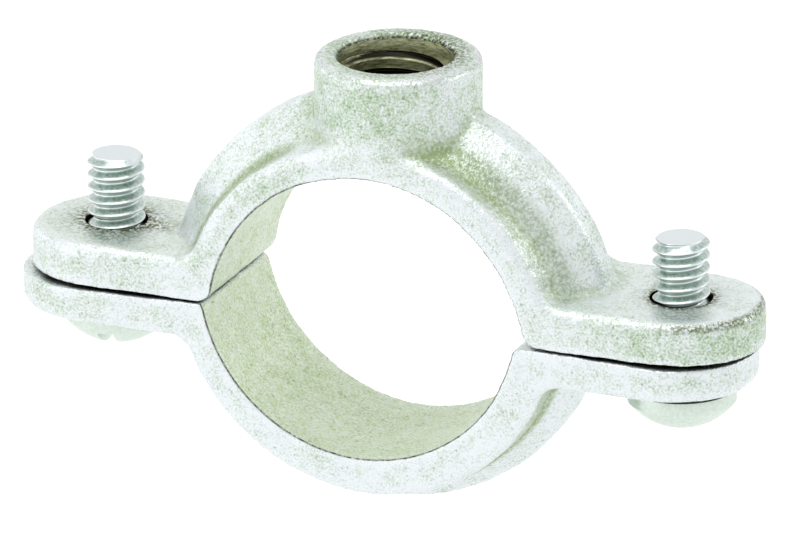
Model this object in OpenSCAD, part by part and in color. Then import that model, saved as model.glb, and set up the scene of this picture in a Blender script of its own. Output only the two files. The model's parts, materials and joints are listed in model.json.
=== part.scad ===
// Split ring pipe hanger: two malleable iron half rings with bolting ears, drawn together
// by two slotted round head screws, and hung from a threaded rod in the boss on top.
// Units are millimetres. X runs through the ears, Y along the pipe and +Z up the rod.
// The origin is the centre of the upper saddle, on the axis of a pipe that it carries.

/* [Pipe saddles] */
// Radius of the round saddle in each half
saddle_r = 13.85; // [10:0.05:40]
// Length of the saddles along the pipe, which is also the width of the ears
band_w = 13.6; // [12:0.2:30]
// Height of the upper half's parting face over the centre of its saddle
upper_parting = 1.4; // [0.5:0.1:3]
// Depth of the lower half's parting face under the centre of its saddle
lower_parting = 2.45; // [0.5:0.05:4]
// Gap between the parting faces beside the pipe, as the hanger is shown
closed_gap = 0.2; // [0.1:0.05:1]
// Rounding of the upper saddle's mouth at the parting face
upper_mouth_r = 1.4; // [0.4:0.1:2]
// Rounding of the lower saddle's mouth at the parting face
lower_mouth_r = 0.8; // [0.4:0.1:2]

/* [Cast section] */
// Thickness of the upper half's flange, at its front and back edges
upper_flange_t = 2.6; // [2:0.1:5]
// Thickness of the lower half's flange, at its front and back edges
lower_flange_t = 2.8; // [2:0.05:5]
// Height of the upper half's middle rib over its flange
upper_rib_h = 3.15; // [1:0.05:6]
// Height of the lower half's middle rib over its flange
lower_rib_h = 2.25; // [1:0.05:6]
// Width of the ribs' flat crest
crest_w = 2.3; // [1:0.1:4]
// Width of each valley floor between the flange's edge and the rib's flank
lip_w = 1.9; // [1.2:0.1:3]
// Rounding of the cast outer edges
edge_r = 0.95; // [0.3:0.05:1.2]
// Hollow fillet between the flange and the rib's flank
valley_r = 1.9; // [0.5:0.1:3]
// Rounding of the ribs' crest
crest_r = 0.6; // [0.2:0.1:1]
// How far the lower saddle's core stands to the left of the middle of its casting
core_left = 0.35; // [0:0.05:0.6]
// How far the lower saddle's core stands above the middle of its casting
core_up = 0.45; // [0:0.05:0.6]

/* [Ears] */
// Distance between the two screws
screw_spacing = 49.75; // [48:0.05:120]
// Reach of the upper ears past the middle of their screws
upper_ear_reach = 6.9; // [6.8:0.05:12]
// Reach of the lower ears past the middle of their screws
lower_ear_reach = 7; // [6.8:0.05:12]
// Thickness of the upper ears, which are tapped for the screws
upper_ear_t = 3.5; // [2.5:0.1:8]
// Thickness of the lower ears beside the saddle
lower_ear_t = 3.25; // [2.5:0.05:8]
// How much the lower ears' parting face falls away from the saddle to the ear's end
ear_draft = 0.35; // [0:0.05:0.8]
// Hollow fillet between the flange and the ears
ear_fillet_r = 2.4; // [1:0.1:4]
// Hollow fillet between the end of the rib and the ears
rib_fillet_r = 1.2; // [0.5:0.1:3]
// Diameter of the clearance holes in the lower ears
clearance_d = 6.3; // [5.6:0.1:9]
// Sideways play taken up by the lower half, towards -X
lower_shift = 0.75; // [0:0.05:0.8]

/* [Rod boss] */
// How far the boss stands out past the front and back edges of the band
boss_proud = 0.05; // [0:0.05:3]
// How far the cast boss stands to the right of the hole drilled in it
boss_shift = 0.25; // [0:0.05:0.5]
// Height of the boss's top over the crest of the upper rib
boss_rise = 2.9; // [1:0.05:12]
// Rounding of the boss's rim
boss_rim_r = 0.75; // [0.3:0.05:1.2]
// Hollow fillet between the boss and the rib
boss_fillet_r = 1.2; // [0.5:0.1:3]
// Bore of the rod hole, the tapping size of a 3/8 inch coarse thread
rod_bore_d = 7.94; // [6:0.01:10]
// Diameter of the rod hole's countersunk mouth
rod_mouth_d = 9.55; // [8:0.05:11]

/* [Screws] */
// Outer diameter of the screws' thread, number 10 machine screw size
screw_d = 4.7; // [4:0.1:5]
// Radial clearance between a screw and the bore of its tapped hole
screw_clearance = 0.05; // [0.03:0.01:0.1]
// Length of a screw under its head
screw_len = 12.7; // [11:0.1:30]
// Diameter of the round heads
head_d = 9; // [8:0.1:12]
// Height of the heads' straight rim
head_rim_h = 1.1; // [0.3:0.1:2]
// Height of the heads' dome over that rim
head_dome_h = 2.3; // [1.5:0.05:4]
// Width of the driver slot
slot_w = 1.3; // [0.8:0.1:2]
// Depth of the driver slot from the top of the dome
slot_depth = 1.8; // [0.8:0.1:2.4]
// Chamfer at the tip of a screw
tip_chamfer = 0.5; // [0.2:0.1:1]
// Gap between a head and the ear that it draws up
head_gap = 0.05; // [0.02:0.01:0.3]
// How far the right screw is backed out from its seat
right_slack = 0.55; // [0:0.05:0.8]
// Turn of the left screw's slot from the X direction
left_slot_turn = 98; // [0:1:180]
// Turn of the right screw's slot from the X direction
right_slot_turn = 20; // [0:1:180]

/* [Hidden] */
$fn = 96;
cut = 1;                 // how far a cutting shape runs past what it cuts
overlap = 0.05;          // how far shapes that join sink into each other
arc_steps = 3;           // flats in each small cast rounding
dome_steps = 8;          // flats from rim to crown of a screw's head
ear_root = 8;            // where an ear starts, inside the bore that is cut later
boss_foot = 6;           // where the boss starts, inside the bore that is cut later
half_w = band_w / 2;
upper_flange_r = saddle_r + upper_flange_t;
lower_flange_r = saddle_r + lower_flange_t;
upper_rib_r = upper_flange_r + upper_rib_h;
lower_rib_r = lower_flange_r + lower_rib_h;
flank_foot = half_w - lip_w;
screw_x = screw_spacing / 2;
ear_bottom = lower_parting + lower_ear_t;
lower_z = upper_parting - closed_gap + lower_parting;
boss_r = half_w + boss_proud;
boss_top = upper_rib_r + boss_rise;
head_seat_z = lower_z - ear_bottom - head_gap;
casting = [0.80, 0.83, 0.78];
plating = [0.72, 0.77, 0.80];

// Unit vector along v
function unit(v) = v / norm(v);

// Points of an arc about c, from angle a0 to angle a1
function arc(c, r, a0, a1, steps = arc_steps) =
    [for (i = [0:steps]) let (a = a0 + (a1 - a0) * i / steps) c + r * [cos(a), sin(a)]];

// An outline whose points are [x, y, corner radius], with each corner rounded to its radius
function rounded(outline) = [
    for (i = [0:len(outline) - 1])
        let (
            n = len(outline),
            p = [outline[i].x, outline[i].y],
            r = outline[i].z,
            before = outline[(i + n - 1) % n],
            after = outline[(i + 1) % n],
            u = unit([before.x, before.y] - p),
            v = unit([after.x, after.y] - p),
            half = acos(u * v) / 2,
            c = p + unit(u + v) * r / sin(half),
            from = p + u * r / tan(half) - c,
            to = p + v * r / tan(half) - c,
            a0 = atan2(from.y, from.x),
            turn = atan2(to.y, to.x) - a0,
            a1 = a0 + (turn > 180 ? turn - 360 : turn < -180 ? turn + 360 : turn)
        )
        each r == 0 ? [p] : arc(c, r, a0, a1)
];

// Plain cast section of a flange, as [radius, place along the pipe]
function flange_section(flange_r) = rounded([
    [saddle_r - cut, -half_w, 0],
    [flange_r, -half_w, edge_r],
    [flange_r, half_w, edge_r],
    [saddle_r - cut, half_w, 0]
]);

// Ribbed cast section: a flange with a middle rib, as [radius, place along the pipe]
function tee_section(flange_r, rib_r) = rounded([
    [saddle_r - cut, -half_w, 0],
    [flange_r, -half_w, edge_r],
    [flange_r, -flank_foot, valley_r],
    [rib_r, -crest_w / 2, crest_r],
    [rib_r, crest_w / 2, crest_r],
    [flange_r, flank_foot, valley_r],
    [flange_r, half_w, edge_r],
    [saddle_r - cut, half_w, 0]
]);

// Centre of a round of radius r that stands on the level z and touches from outside, on its
// +X side, a circle of radius ring_r about the point o
function touching(o, ring_r, z, r) =
    [o.x + sqrt(pow(ring_r + r, 2) - pow(z + r - o.y, 2)), z + r];

// Lays a shape's profile in the XZ plane and gives it the width w along the pipe
module across(w) {
    rotate([90, 0, 0]) translate([0, 0, -w / 2]) linear_extrude(w) children();
}

// Half ring of a cast section about the point o, over the level of its middle
module arch(section, o = [0, 0]) {
    translate([o.x, 0, o.y]) rotate([90, 0, 0]) rotate_extrude(angle = 180) polygon(section);
}

// One ear beside +X, from the level 0 up to t, with its upper edge rounded
module ear(t, reach) {
    section = rounded([
        [-half_w, 0, 0], [half_w, 0, 0], [half_w, t, edge_r], [-half_w, t, edge_r]
    ]);
    half_section = rounded([[0, 0, 0], [half_w, 0, 0], [half_w, t, edge_r], [0, t, 0]]);
    round_x = screw_x + reach - half_w;
    translate([ear_root, 0, 0]) rotate([90, 0, 90])
        linear_extrude(round_x - ear_root) polygon(section);
    translate([round_x, 0, 0]) rotate_extrude(angle = 180, start = -90) polygon(half_section);
}

// Fillet that joins a flange about the point o to the top of an ear at the level z, with
// rounded front and back edges that carry on those of the flange and the ear
module flange_fillet(o, flange_r, z) {
    c = touching(o, flange_r, z, ear_fillet_r) - overlap * [1, 1];
    on_ring = o + unit(c - o) * flange_r;
    inner = [on_ring.x - edge_r / 2, z - edge_r];
    r = ear_fillet_r;
    spindle = concat(
        [[0, -half_w - cut], [r + edge_r, -half_w - cut]],
        arc([r + edge_r, -half_w + edge_r], edge_r, 270, 180),
        arc([r + edge_r, half_w - edge_r], edge_r, 180, 90),
        [[r + edge_r, half_w + cut], [0, half_w + cut]]
    );
    difference() {
        across(band_w) polygon([on_ring, c, [c.x, z - overlap], [c.x, z - edge_r], inner]);
        translate([c.x, 0, c.y]) rotate([90, 0, 0]) rotate_extrude() polygon(spindle);
    }
}

// Fillet that runs the end of the rib out on the top of an ear at the level z
module rib_fillet(flange_r, rib_r, z) {
    r = rib_fillet_r;
    c = touching([0, 0], rib_r, z, r) - overlap * [1, 1];
    on_ring = unit(c) * rib_r;
    drop = rib_r - flange_r;
    spindle = [
        [0, -half_w], [r + drop, -half_w], [r + drop, -flank_foot], [r, -crest_w / 2],
        [r, crest_w / 2], [r + drop, flank_foot], [r + drop, half_w], [0, half_w]
    ];
    difference() {
        across(2 * flank_foot) polygon([
            on_ring, c, [c.x, z - overlap], [c.x, z - edge_r], [on_ring.x - drop, z - edge_r]
        ]);
        translate([c.x, 0, c.y]) rotate([90, 0, 0]) rotate_extrude() polygon(spindle);
    }
}

// Cutter that rounds the mouth of a saddle, beside +X, where it meets a parting face at z
module mouth_rounding(z, r) {
    c = touching([0, 0], saddle_r, z, r);
    on_saddle = unit(c) * saddle_r;
    difference() {
        across(band_w + 2 * cut) polygon([
            on_saddle, c, [c.x, z], [c.x, z - cut], [on_saddle.x - cut, z - cut],
            [on_saddle.x - cut, on_saddle.y]
        ]);
        translate([c.x, 0, c.y]) rotate([90, 0, 0]) cylinder(r = r, h = band_w + 4 * cut, center = true);
    }
}

// A half casting over its parting face at the level z: ribbed ring, ears and their fillets.
// The flange's outer face is round about the point o.
module half_ring(flange_r, rib_r, z, ear_t, reach, o = [0, 0]) {
    off_centre = norm(o) > 0;
    arch(tee_section(flange_r - norm(o) - (off_centre ? overlap : 0), rib_r));
    if (off_centre) arch(flange_section(flange_r), o);
    for (side = [0, 1]) mirror([side, 0, 0]) {
        translate([0, 0, z]) ear(ear_t, reach);
        flange_fillet([o.x * (1 - 2 * side), o.y], flange_r, z + ear_t);
        rib_fillet(flange_r, rib_r, z + ear_t);
    }
}

// Bore of the saddle, right through along the pipe
module saddle_bore() {
    rotate([90, 0, 0]) cylinder(r = saddle_r, h = band_w + 2 * cut, center = true, $fn = 180);
}

// Boss that stands on the crown of the upper half, with its fillets to the rib
module boss() {
    translate([boss_shift, 0, 0]) difference() {
        rotate_extrude() polygon(rounded([
            [0, boss_foot, 0], [boss_r, boss_foot, 0], [boss_r, boss_top, boss_rim_r], [0, boss_top, 0]
        ]));
        // Below the flange's rounded edges its front and back are cut flush with the band
        for (side = [-1, 1]) translate([0, side * (half_w + boss_r), boss_foot])
            cube([4 * boss_r, 2 * boss_r, 2 * (upper_flange_r - edge_r - boss_foot)], center = true);
    }
    for (side = [-1, 1]) mirror([side < 0 ? 1 : 0, 0, 0]) {
        wall_x = boss_r + side * boss_shift;
        wide = wall_x + boss_fillet_r;
        c = [wide, sqrt(pow(upper_rib_r + boss_fillet_r, 2) - pow(wide, 2))] - overlap * [1, 1];
        on_rib = unit(c) * upper_rib_r;
        difference() {
            across(crest_w) polygon([
                c, on_rib, on_rib - cut * [1, 1], [wall_x - cut, on_rib.y - cut],
                [wall_x - cut, c.y]
            ]);
            translate([c.x, 0, c.y]) rotate([90, 0, 0])
                cylinder(r = boss_fillet_r, h = crest_w + 2 * cut, center = true);
        }
    }
}

// Hole for the hanger rod, from the countersunk mouth down into the saddle
module rod_hole() {
    sink = (rod_mouth_d - rod_bore_d) / 2;
    translate([0, 0, saddle_r / 2]) cylinder(d = rod_bore_d, h = boss_top);
    translate([0, 0, boss_top - sink])
        cylinder(d1 = rod_bore_d, d2 = rod_mouth_d + 2 * cut, h = sink + cut);
}

// Upper half: saddle, rod boss and the two tapped ears
module upper_half() {
    color(casting) difference() {
        union() {
            half_ring(upper_flange_r, upper_rib_r, upper_parting, upper_ear_t, upper_ear_reach);
            boss();
        }
        translate([0, 0, upper_parting - 2 * saddle_r])
            cube([2 * screw_spacing, 2 * band_w, 4 * saddle_r], center = true);
        saddle_bore();
        rod_hole();
        for (side = [-1, 1]) translate([side * screw_x, 0, upper_parting - cut])
            cylinder(d = screw_d + 2 * screw_clearance, h = upper_ear_t + 2 * cut);
        for (side = [0, 1]) mirror([side, 0, 0]) mouth_rounding(upper_parting, upper_mouth_r);
    }
}

// Lower half: saddle and the two ears with clearance holes, its parting faces falling away
module lower_half() {
    mouth_x = sqrt(pow(saddle_r, 2) - pow(lower_parting, 2));
    ear_end = screw_x + lower_ear_reach;
    slope = ear_draft / (ear_end - mouth_x);
    color(casting) translate([-lower_shift, 0, lower_z]) mirror([0, 0, 1]) difference() {
        half_ring(
            lower_flange_r, lower_rib_r, lower_parting, lower_ear_t, lower_ear_reach,
            [core_left, core_up]
        );
        saddle_bore();
        for (side = [0, 1]) mirror([side, 0, 0]) {
            across(2 * band_w) polygon([
                [-cut, -cut], [2 * ear_end, -cut],
                [2 * ear_end, lower_parting + slope * (2 * ear_end - mouth_x)],
                [mouth_x, lower_parting], [-cut, lower_parting]
            ]);
            translate([screw_x, 0, 0]) cylinder(d = clearance_d, h = ear_bottom + cut);
            mouth_rounding(lower_parting, lower_mouth_r);
        }
    }
}

// Slotted round head screw, its head's seat at the level 0 and its tip up
module screw(slot_turn) {
    head_r = head_d / 2;
    head_h = head_rim_h + head_dome_h;
    // The dome is a round cap: the radius of its sphere follows from its width and height
    ball_r = (pow(head_r, 2) + pow(head_dome_h, 2)) / (2 * head_dome_h);
    start = asin(head_r / ball_r);
    color(plating) {
        difference() {
            union() {
                cylinder(d = screw_d, h = screw_len - tip_chamfer);
                translate([0, 0, screw_len - tip_chamfer])
                    cylinder(d1 = screw_d, d2 = screw_d - 2 * tip_chamfer, h = tip_chamfer);
                rotate_extrude() polygon(concat(
                    [[0, 0], [head_r, 0]],
                    [for (i = [0:dome_steps]) let (a = start * (1 - i / dome_steps))
                        [ball_r * sin(a), -head_h + ball_r - ball_r * cos(a)]]
                ));
            }
            rotate(slot_turn) translate([0, 0, -head_h])
                cube([head_d + cut, slot_w, 2 * slot_depth], center = true);
        }
    }
}

// Screw at -X, drawn up to its ear
module left_screw() {
    translate([-screw_x, 0, head_seat_z]) screw(left_slot_turn);
}

// Screw at +X, backed out a little
module right_screw() {
    translate([screw_x, 0, head_seat_z - right_slack]) screw(right_slot_turn);
}

upper_half();
lower_half();
left_screw();
right_screw();
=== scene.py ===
"""Looks of a split ring pipe hanger: its galvanised castings, its tapped holes and its two plated screws.

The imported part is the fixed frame. Each half casting is remeshed from its solid, and worn smooth and grained
as a sand casting is. The upper one is then tapped and drilled. The screws get a real thread. Lengths are in
metres, as in the frame.
"""

import json
import math

import bpy
import numpy as np
from mathutils import Matrix, Vector
from mathutils.kdtree import KDTree


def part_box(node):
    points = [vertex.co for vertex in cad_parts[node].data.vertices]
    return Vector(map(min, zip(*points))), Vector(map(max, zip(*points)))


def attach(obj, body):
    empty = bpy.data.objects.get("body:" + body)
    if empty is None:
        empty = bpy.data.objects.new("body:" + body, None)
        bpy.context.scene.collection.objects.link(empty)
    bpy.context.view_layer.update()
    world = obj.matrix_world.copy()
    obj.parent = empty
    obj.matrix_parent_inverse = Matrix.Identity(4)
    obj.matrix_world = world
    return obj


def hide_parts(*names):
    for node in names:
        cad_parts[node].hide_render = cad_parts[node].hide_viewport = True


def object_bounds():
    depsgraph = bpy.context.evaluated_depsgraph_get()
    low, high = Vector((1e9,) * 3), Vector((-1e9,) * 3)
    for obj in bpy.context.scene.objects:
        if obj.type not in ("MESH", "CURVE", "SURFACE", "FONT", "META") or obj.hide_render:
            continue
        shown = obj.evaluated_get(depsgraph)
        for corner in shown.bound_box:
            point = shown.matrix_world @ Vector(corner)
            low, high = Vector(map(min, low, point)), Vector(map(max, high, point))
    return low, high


bl_info = {
    "name": "Split Ring Pipe Hanger",
    "version": (1, 0, 0),
    "blender": (4, 5, 0),
    "location": "3D View > Sidebar > Hanger",
    "description": "Builds the castings, the screws and the studio of a split ring pipe hanger",
    "category": "Object",
}

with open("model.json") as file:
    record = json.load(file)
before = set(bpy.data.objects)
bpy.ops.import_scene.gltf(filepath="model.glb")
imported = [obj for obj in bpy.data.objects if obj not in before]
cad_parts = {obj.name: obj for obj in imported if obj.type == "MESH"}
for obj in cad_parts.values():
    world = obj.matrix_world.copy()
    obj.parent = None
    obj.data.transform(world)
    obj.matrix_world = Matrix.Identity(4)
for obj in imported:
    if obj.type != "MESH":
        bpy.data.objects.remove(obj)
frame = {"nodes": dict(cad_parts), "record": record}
CAD_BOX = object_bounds()

MM = 0.001
UPPER_LOW, UPPER_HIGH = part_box("upper_half")
RIGHT_LOW, RIGHT_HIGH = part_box("right_screw")
BOSS_TOP = UPPER_HIGH.z
UPPER_PARTING = UPPER_LOW.z
LOWER_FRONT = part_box("lower_half")[0].y
SCREW_X = (RIGHT_LOW.x + RIGHT_HIGH.x) / 2
MOUNTS = {m["name"]: m["dims"] for m in frame["record"]["mounts"]}
SADDLE_R = MOUNTS["pipe_saddle"]["r_mm"] * MM
ROD_BORE_R = MOUNTS["rod_socket"]["r_mm"] * MM

# Middles of the two saddles' circles, across and up
UPPER_MIDDLE = (0, 0)
LOWER_MIDDLE = (-0.75 * MM, 3.65 * MM)

# Points that are this close become one
MERGE = 0.001 * MM

# Places of the sockets of a colour Mix node
MIX_FACTOR = 0
MIX_A = 6
MIX_B = 7
MIX_RESULT = 2


# Settings


def srgb(code):
    """Linear colour of an sRGB hex code."""
    channels = [int(code[i : i + 2], 16) / 255 for i in (1, 3, 5)]
    return [c / 12.92 if c <= 0.04045 else ((c + 0.055) / 1.055) ** 2.4 for c in channels]


def length_setting(name, description, millimetres):
    """A length that a user can change."""
    return bpy.props.FloatProperty(
        name=name, description=description, default=millimetres * MM, unit="LENGTH", precision=6
    )


def angle_setting(name, description, degrees):
    """An angle that a user can change."""
    return bpy.props.FloatProperty(
        name=name, description=description, default=math.radians(degrees), subtype="ANGLE"
    )


def colour_setting(name, description, code):
    """A colour that a user can change, from its sRGB hex code."""
    return bpy.props.FloatVectorProperty(
        name=name, description=description, default=srgb(code), subtype="COLOR"
    )


class HangerCastingSizes(bpy.types.PropertyGroup):
    """Sizes of the two half castings' skin."""

    grid: length_setting("Skin grid", "Spacing of the points of the cast skin", 0.21)
    wear_passes: bpy.props.IntProperty(
        name="Wear",
        description="Smoothing passes that round the edges as fettling and zinc do",
        default=3,
        min=0,
    )
    foot_passes: bpy.props.IntProperty(
        name="Boss foot",
        description="Smoothing passes that blend the foot of the boss into the front and back faces",
        default=50,
        min=0,
    )
    wave_size: length_setting("Wave size", "Width of the shallow waves that the sand mould leaves", 3.2)
    wave_height: length_setting("Wave height", "Height of the waves from trough to crest", 0.16)
    grain_size: length_setting("Grain size", "Width of the grains that the sand mould leaves", 0.75)
    grain_height: length_setting("Grain height", "Height of the grains from trough to crest", 0.09)
    ear_top: length_setting("Ear top", "Level of the upper ears' top face", 4.9)
    ear_hole_r: length_setting(
        "Ear hole radius", "Radius of the upper ears' holes at the roots of their thread", 2.6
    )


class HangerRodThreadSizes(bpy.types.PropertyGroup):
    """Sizes of the thread that is tapped in the boss."""

    pitch: length_setting("Pitch", "Rise of the thread in one turn, 16 turns to the inch", 25.4 / 16)
    root_r: length_setting("Groove radius", "Radius at the bottom of the groove that the tap cuts", 4.62)
    mouth_r: length_setting("Mouth radius", "Radius of the plain mouth at the top of the boss", 4.74)
    mouth_depth: length_setting("Mouth depth", "Depth of the plain mouth", 1.4)
    sink_r: length_setting(
        "Countersink radius", "Radius of the zinc covered countersink at the top of the boss", 5.0
    )
    sink_depth: length_setting("Countersink depth", "Depth of the zinc covered countersink", 0.33)
    first_groove: length_setting(
        "First groove", "Depth under the boss's top of the first whole groove, on the far side", 1.6
    )


class HangerScrewSizes(bpy.types.PropertyGroup):
    """Sizes of the two slotted round head screws."""

    pitch: length_setting("Pitch", "Rise of the thread in one turn, 24 turns to the inch", 25.4 / 24)
    crest_r: length_setting("Crest radius", "Radius over the crests of the thread", 2.35)
    root_r: length_setting("Root radius", "Radius at the roots of the thread", 1.77)
    tip_chamfer: length_setting("Tip chamfer", "Chamfer round the flat tip", 0.42)
    rim_h: length_setting("Rim height", "Height of the head's straight rim", 1.1)
    dome_h: length_setting("Dome height", "Height of the head's round dome over its rim", 2.3)
    slot_w: length_setting("Slot width", "Width of the driver slot", 1.3)
    slot_depth: length_setting("Slot depth", "Depth of the driver slot from the top of the dome", 1.8)
    left_thread_turn: angle_setting(
        "Left thread turn", "Turn of the left screw's thread about its axis", 93
    )
    right_thread_turn: angle_setting(
        "Right thread turn", "Turn of the right screw's thread about its axis", 174
    )
    left_slot_turn: angle_setting(
        "Left slot turn", "Turn of the left screw's slot from the X direction", 98
    )
    right_slot_turn: angle_setting(
        "Right slot turn", "Turn of the right screw's slot from the X direction", 20
    )


class HangerColours(bpy.types.PropertyGroup):
    """Colours of the finishes."""

    pale_zinc: colour_setting("Pale zinc", "Fresh, bluish white zinc of the bright faces", "#EEF4F7")
    green_zinc: colour_setting("Green zinc", "Duller zinc with a green cast", "#A9C49C")
    # Olive grime, with the painted shade of the creases, dimples and valleys in it
    olive_grime_and_shade: colour_setting("Olive grime", "Grime that settles in the creases", "#9AAE80")
    # A painted shade tint of the bores, which also tints the flat ear tops
    bore_and_top_shading: colour_setting(
        "Saddle zinc", "Yellow green zinc of the saddles, which the pipe and the rain wear", "#C2D688"
    )
    speck: colour_setting("Specks", "Small dark specks of dirt and sand", "#77825C")
    # Mostly a painted reflection of each screw on the ear in front of it
    smear: colour_setting("Smear", "Blue grey smear in front of the screws", "#6E867E")
    rust: colour_setting("Rust", "Brown stain beside the cut threads", "#55592C")
    # Dirt and painted shade in the gaps and in the grooves of the tapped thread
    dirt_and_shade_in_gaps: colour_setting("Gap dirt", "Dirt in the gaps and in the grooves of the threads", "#1F1D13")
    # Drawn as a thin dark line along the saddles' near edges and the countersink's lower edge
    dark_edge_line: colour_setting(
        "Edge dirt", "Dark olive line of dirt along the saddles' scraped edges", "#33330F"
    )
    cut_iron: colour_setting("Cut iron", "Bare iron of the tapped threads", "#B6BA98")
    plate: colour_setting("Bright plate", "Bright zinc plate of the screws", "#E2E9EA")
    # Painted shade and reflection on the thread's flanks
    plate_flank_shade: colour_setting(
        "Plate on the flanks", "Greyer, bluer plate on the flanks of the screws' threads", "#A4B8AE"
    )
    # Painted shade on the thread's lower flanks
    plate_under_shade: colour_setting(
        "Plate under the crests", "Dark, dirty plate on the lower flanks of the screws' threads", "#9CADA4"
    )
    plate_head: colour_setting("Plate on the head", "Dull plate of the screws' heads", "#C2D0C2")


class HangerStudio(bpy.types.PropertyGroup):
    """Camera and light."""

    azimuth: angle_setting("Azimuth", "Turn of the camera to the right of the front", 23.293)
    elevation: angle_setting("Elevation", "Angle of the camera over the horizon", 20.382)
    roll: angle_setting("Roll", "Roll of the camera", -0.609)
    distance: length_setting("Distance", "Distance of the camera from its target", 1800)
    frame_w: length_setting("Frame width", "Width that the picture covers at the target", 64.91)
    target_right: length_setting(
        "Target right", "Place of the target to the right of the origin, as the camera sees it", 0.144
    )
    target_up: length_setting(
        "Target up", "Place of the target over the origin, as the camera sees it", 3.752
    )
    floor_drop: length_setting("Floor drop", "Height of the hanger's lowest point over the floor", 38)


# Modelling helpers


def pick(obj):
    """Leaves obj as the only selected object, and the active one."""
    bpy.ops.object.select_all(action="DESELECT")
    obj.select_set(True)
    bpy.context.view_layer.objects.active = obj


def modify(obj, kind, **settings):
    """Adds a modifier to obj and applies it."""
    pick(obj)
    modifier = obj.modifiers.new(kind.title(), kind)
    for key, value in settings.items():
        setattr(modifier, key, value)
    bpy.ops.object.modifier_apply(modifier=modifier.name)


def combine(obj, tool, operation, keep_finish=False):
    """Cuts, joins or intersects obj with the tool, which is used up."""
    before = len(obj.data.vertices)
    mode = "TRANSFER" if keep_finish else "INDEX"
    modify(obj, "BOOLEAN", operation=operation, object=tool, solver="MANIFOLD", material_mode=mode)
    bpy.data.objects.remove(tool)
    if len(obj.data.vertices) in (0, before):
        raise RuntimeError(f"{obj.name}: {operation} changed nothing")


def edit(obj):
    """Opens obj for editing with nothing selected."""
    pick(obj)
    bpy.ops.object.mode_set(mode="EDIT")
    bpy.ops.mesh.select_mode(type="VERT")
    bpy.ops.mesh.select_all(action="DESELECT")


def select_points(obj, chosen):
    """Selects the points of obj, open for editing, that the test chosen takes."""
    bpy.ops.object.mode_set(mode="OBJECT")
    for vertex in obj.data.vertices:
        vertex.select = chosen(vertex.co)
    bpy.ops.object.mode_set(mode="EDIT")


def settle(obj):
    """Closes obj's editing and puts its place into its mesh."""
    if obj.mode == "EDIT":
        bpy.ops.object.mode_set(mode="OBJECT")
    pick(obj)
    bpy.ops.object.transform_apply(location=True, rotation=True, scale=True)


def primitive(operator, **sizes):
    """Adds a primitive at its size and place, as the only selected object."""
    bpy.ops.object.select_all(action="DESELECT")
    operator(**sizes)
    settle(bpy.context.object)
    return bpy.context.object


def clean_cuts(obj):
    """Takes out the needle faces that the cuts leave."""
    edit(obj)
    bpy.ops.mesh.select_all(action="SELECT")
    bpy.ops.mesh.remove_doubles(threshold=MERGE)
    bpy.ops.mesh.dissolve_degenerate(threshold=MERGE)
    bpy.ops.object.mode_set(mode="OBJECT")


def points_of(mesh, what="co"):
    """The places or the normals of a mesh's points, as rows."""
    data = mesh.vertices if what == "co" else mesh.vertex_normals
    rows = np.empty(len(mesh.vertices) * 3, np.float32)
    data.foreach_get("co" if what == "co" else "vector", rows)
    return rows.reshape(-1, 3)


def write_attribute(mesh, name, values):
    """Stores one number for each point of a mesh."""
    attribute = mesh.attributes.get(name) or mesh.attributes.new(name, "FLOAT", "POINT")
    attribute.data.foreach_set("value", np.ascontiguousarray(values, np.float32))


def step(values, low, high):
    """Smooth rise from 0 at low to 1 at high."""
    t = np.clip((values - low) / (high - low), 0, 1)
    return t * t * (3 - 2 * t)


# Threads


def threaded_solid(name, pitch, crest_r, root_r, shares, bottom, top, turn=0.0, rounding=0.05 * MM):
    """Closed rod along Z with a right-hand thread, at least from bottom to top.

    shares are the parts of a pitch that the crest, a flank and the root take. The middle of a crest lies at
    the level bottom, in the direction turn from +X.
    """
    crest, flank, root = shares
    parts = crest + root + 2 * flank
    turns = math.ceil((top - bottom) / pitch) + 1
    count = parts * turns
    bpy.ops.object.select_all(action="DESELECT")
    bpy.ops.mesh.primitive_grid_add(x_subdivisions=1, y_subdivisions=count, size=1)
    rod = bpy.context.object
    rod.name = name
    rod.scale = (root_r, turns * pitch, 1)
    rod.rotation_euler = (math.pi / 2, 0, 0)
    start = bottom - pitch - crest / 2 * pitch / parts
    rod.location = (root_r / 2, 0, start + turns / 2 * pitch)
    settle(rod)

    # The strip's inner side goes, and the points of the crests move out
    edit(rod)
    select_points(rod, lambda co: co.x < root_r / 2)
    bpy.ops.mesh.delete(type="VERT")
    for rest in range(flank):

        def on_tooth(co, rest=rest):
            place = round((co.z - start) / pitch * parts) % parts
            return place <= crest + rest or place >= parts - rest

        select_points(rod, on_tooth)
        bpy.ops.transform.translate(value=((crest_r - root_r) / flank, 0, 0))
    bpy.ops.object.mode_set(mode="OBJECT")
    modify(
        rod,
        "SCREW",
        axis="Z",
        angle=math.tau,
        screw_offset=pitch,
        steps=72,
        render_steps=72,
        iterations=1,
        use_smooth_shade=False,
    )

    # Each end closes to a point on the axis
    edit(rod)
    bpy.ops.mesh.select_all(action="SELECT")
    bpy.ops.mesh.remove_doubles(threshold=MERGE)
    middle = bottom + (turns - 1) / 2 * pitch
    for above in (False, True):
        bpy.ops.mesh.select_all(action="DESELECT")
        bpy.ops.mesh.select_non_manifold(
            extend=False,
            use_wire=False,
            use_boundary=True,
            use_multi_face=False,
            use_non_contiguous=False,
            use_verts=False,
        )
        bpy.ops.object.mode_set(mode="OBJECT")
        for vertex in rod.data.vertices:
            if vertex.select and (vertex.co.z > middle) != above:
                vertex.select = False
        for edge in rod.data.edges:
            edge.select = all(rod.data.vertices[i].select for i in edge.vertices) and edge.select
        bpy.ops.object.mode_set(mode="EDIT")
        bpy.ops.mesh.extrude_edges_move()
        bpy.ops.mesh.merge(type="CENTER")
    bpy.ops.mesh.select_all(action="SELECT")
    bpy.ops.mesh.normals_make_consistent(inside=False)
    bpy.ops.object.mode_set(mode="OBJECT")
    rod.rotation_euler = (0, 0, turn)
    settle(rod)
    modify(rod, "BEVEL", width=rounding, segments=2, limit_method="ANGLE", angle_limit=math.radians(20))
    return rod


# Castings


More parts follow.
